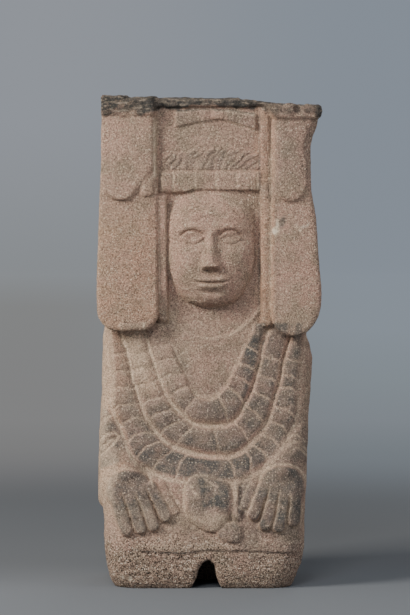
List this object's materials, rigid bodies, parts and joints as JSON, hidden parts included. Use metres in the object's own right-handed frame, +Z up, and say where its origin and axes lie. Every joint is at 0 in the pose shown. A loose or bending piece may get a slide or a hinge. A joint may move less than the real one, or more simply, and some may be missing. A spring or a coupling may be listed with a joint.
{
  "type": "maize goddess figure",
  "caption": "Block-shaped stone figure of a kneeling goddess, hands on knees, with strands of beads and a tall box headdress with hanging side tassels. Flat underside.",
  "frame": {"origin": "on the ground, under the middle of the figure's bounding box", "axes": "+Z up through the headdress; the figure faces -Y; +X is to the right of someone facing the figure"},
  "size_m": [0.2736, 0.1868, 0.6002],
  "materials": {
    "stone": "weathered pinkish-brown volcanic stone, fine grained, darker on the worn raised carving and on the broken top, dusty pale in the grooves"
  },
  "bodies": {
    "root": {"carved_figure": "stone"}
  },
  "joints": []
}
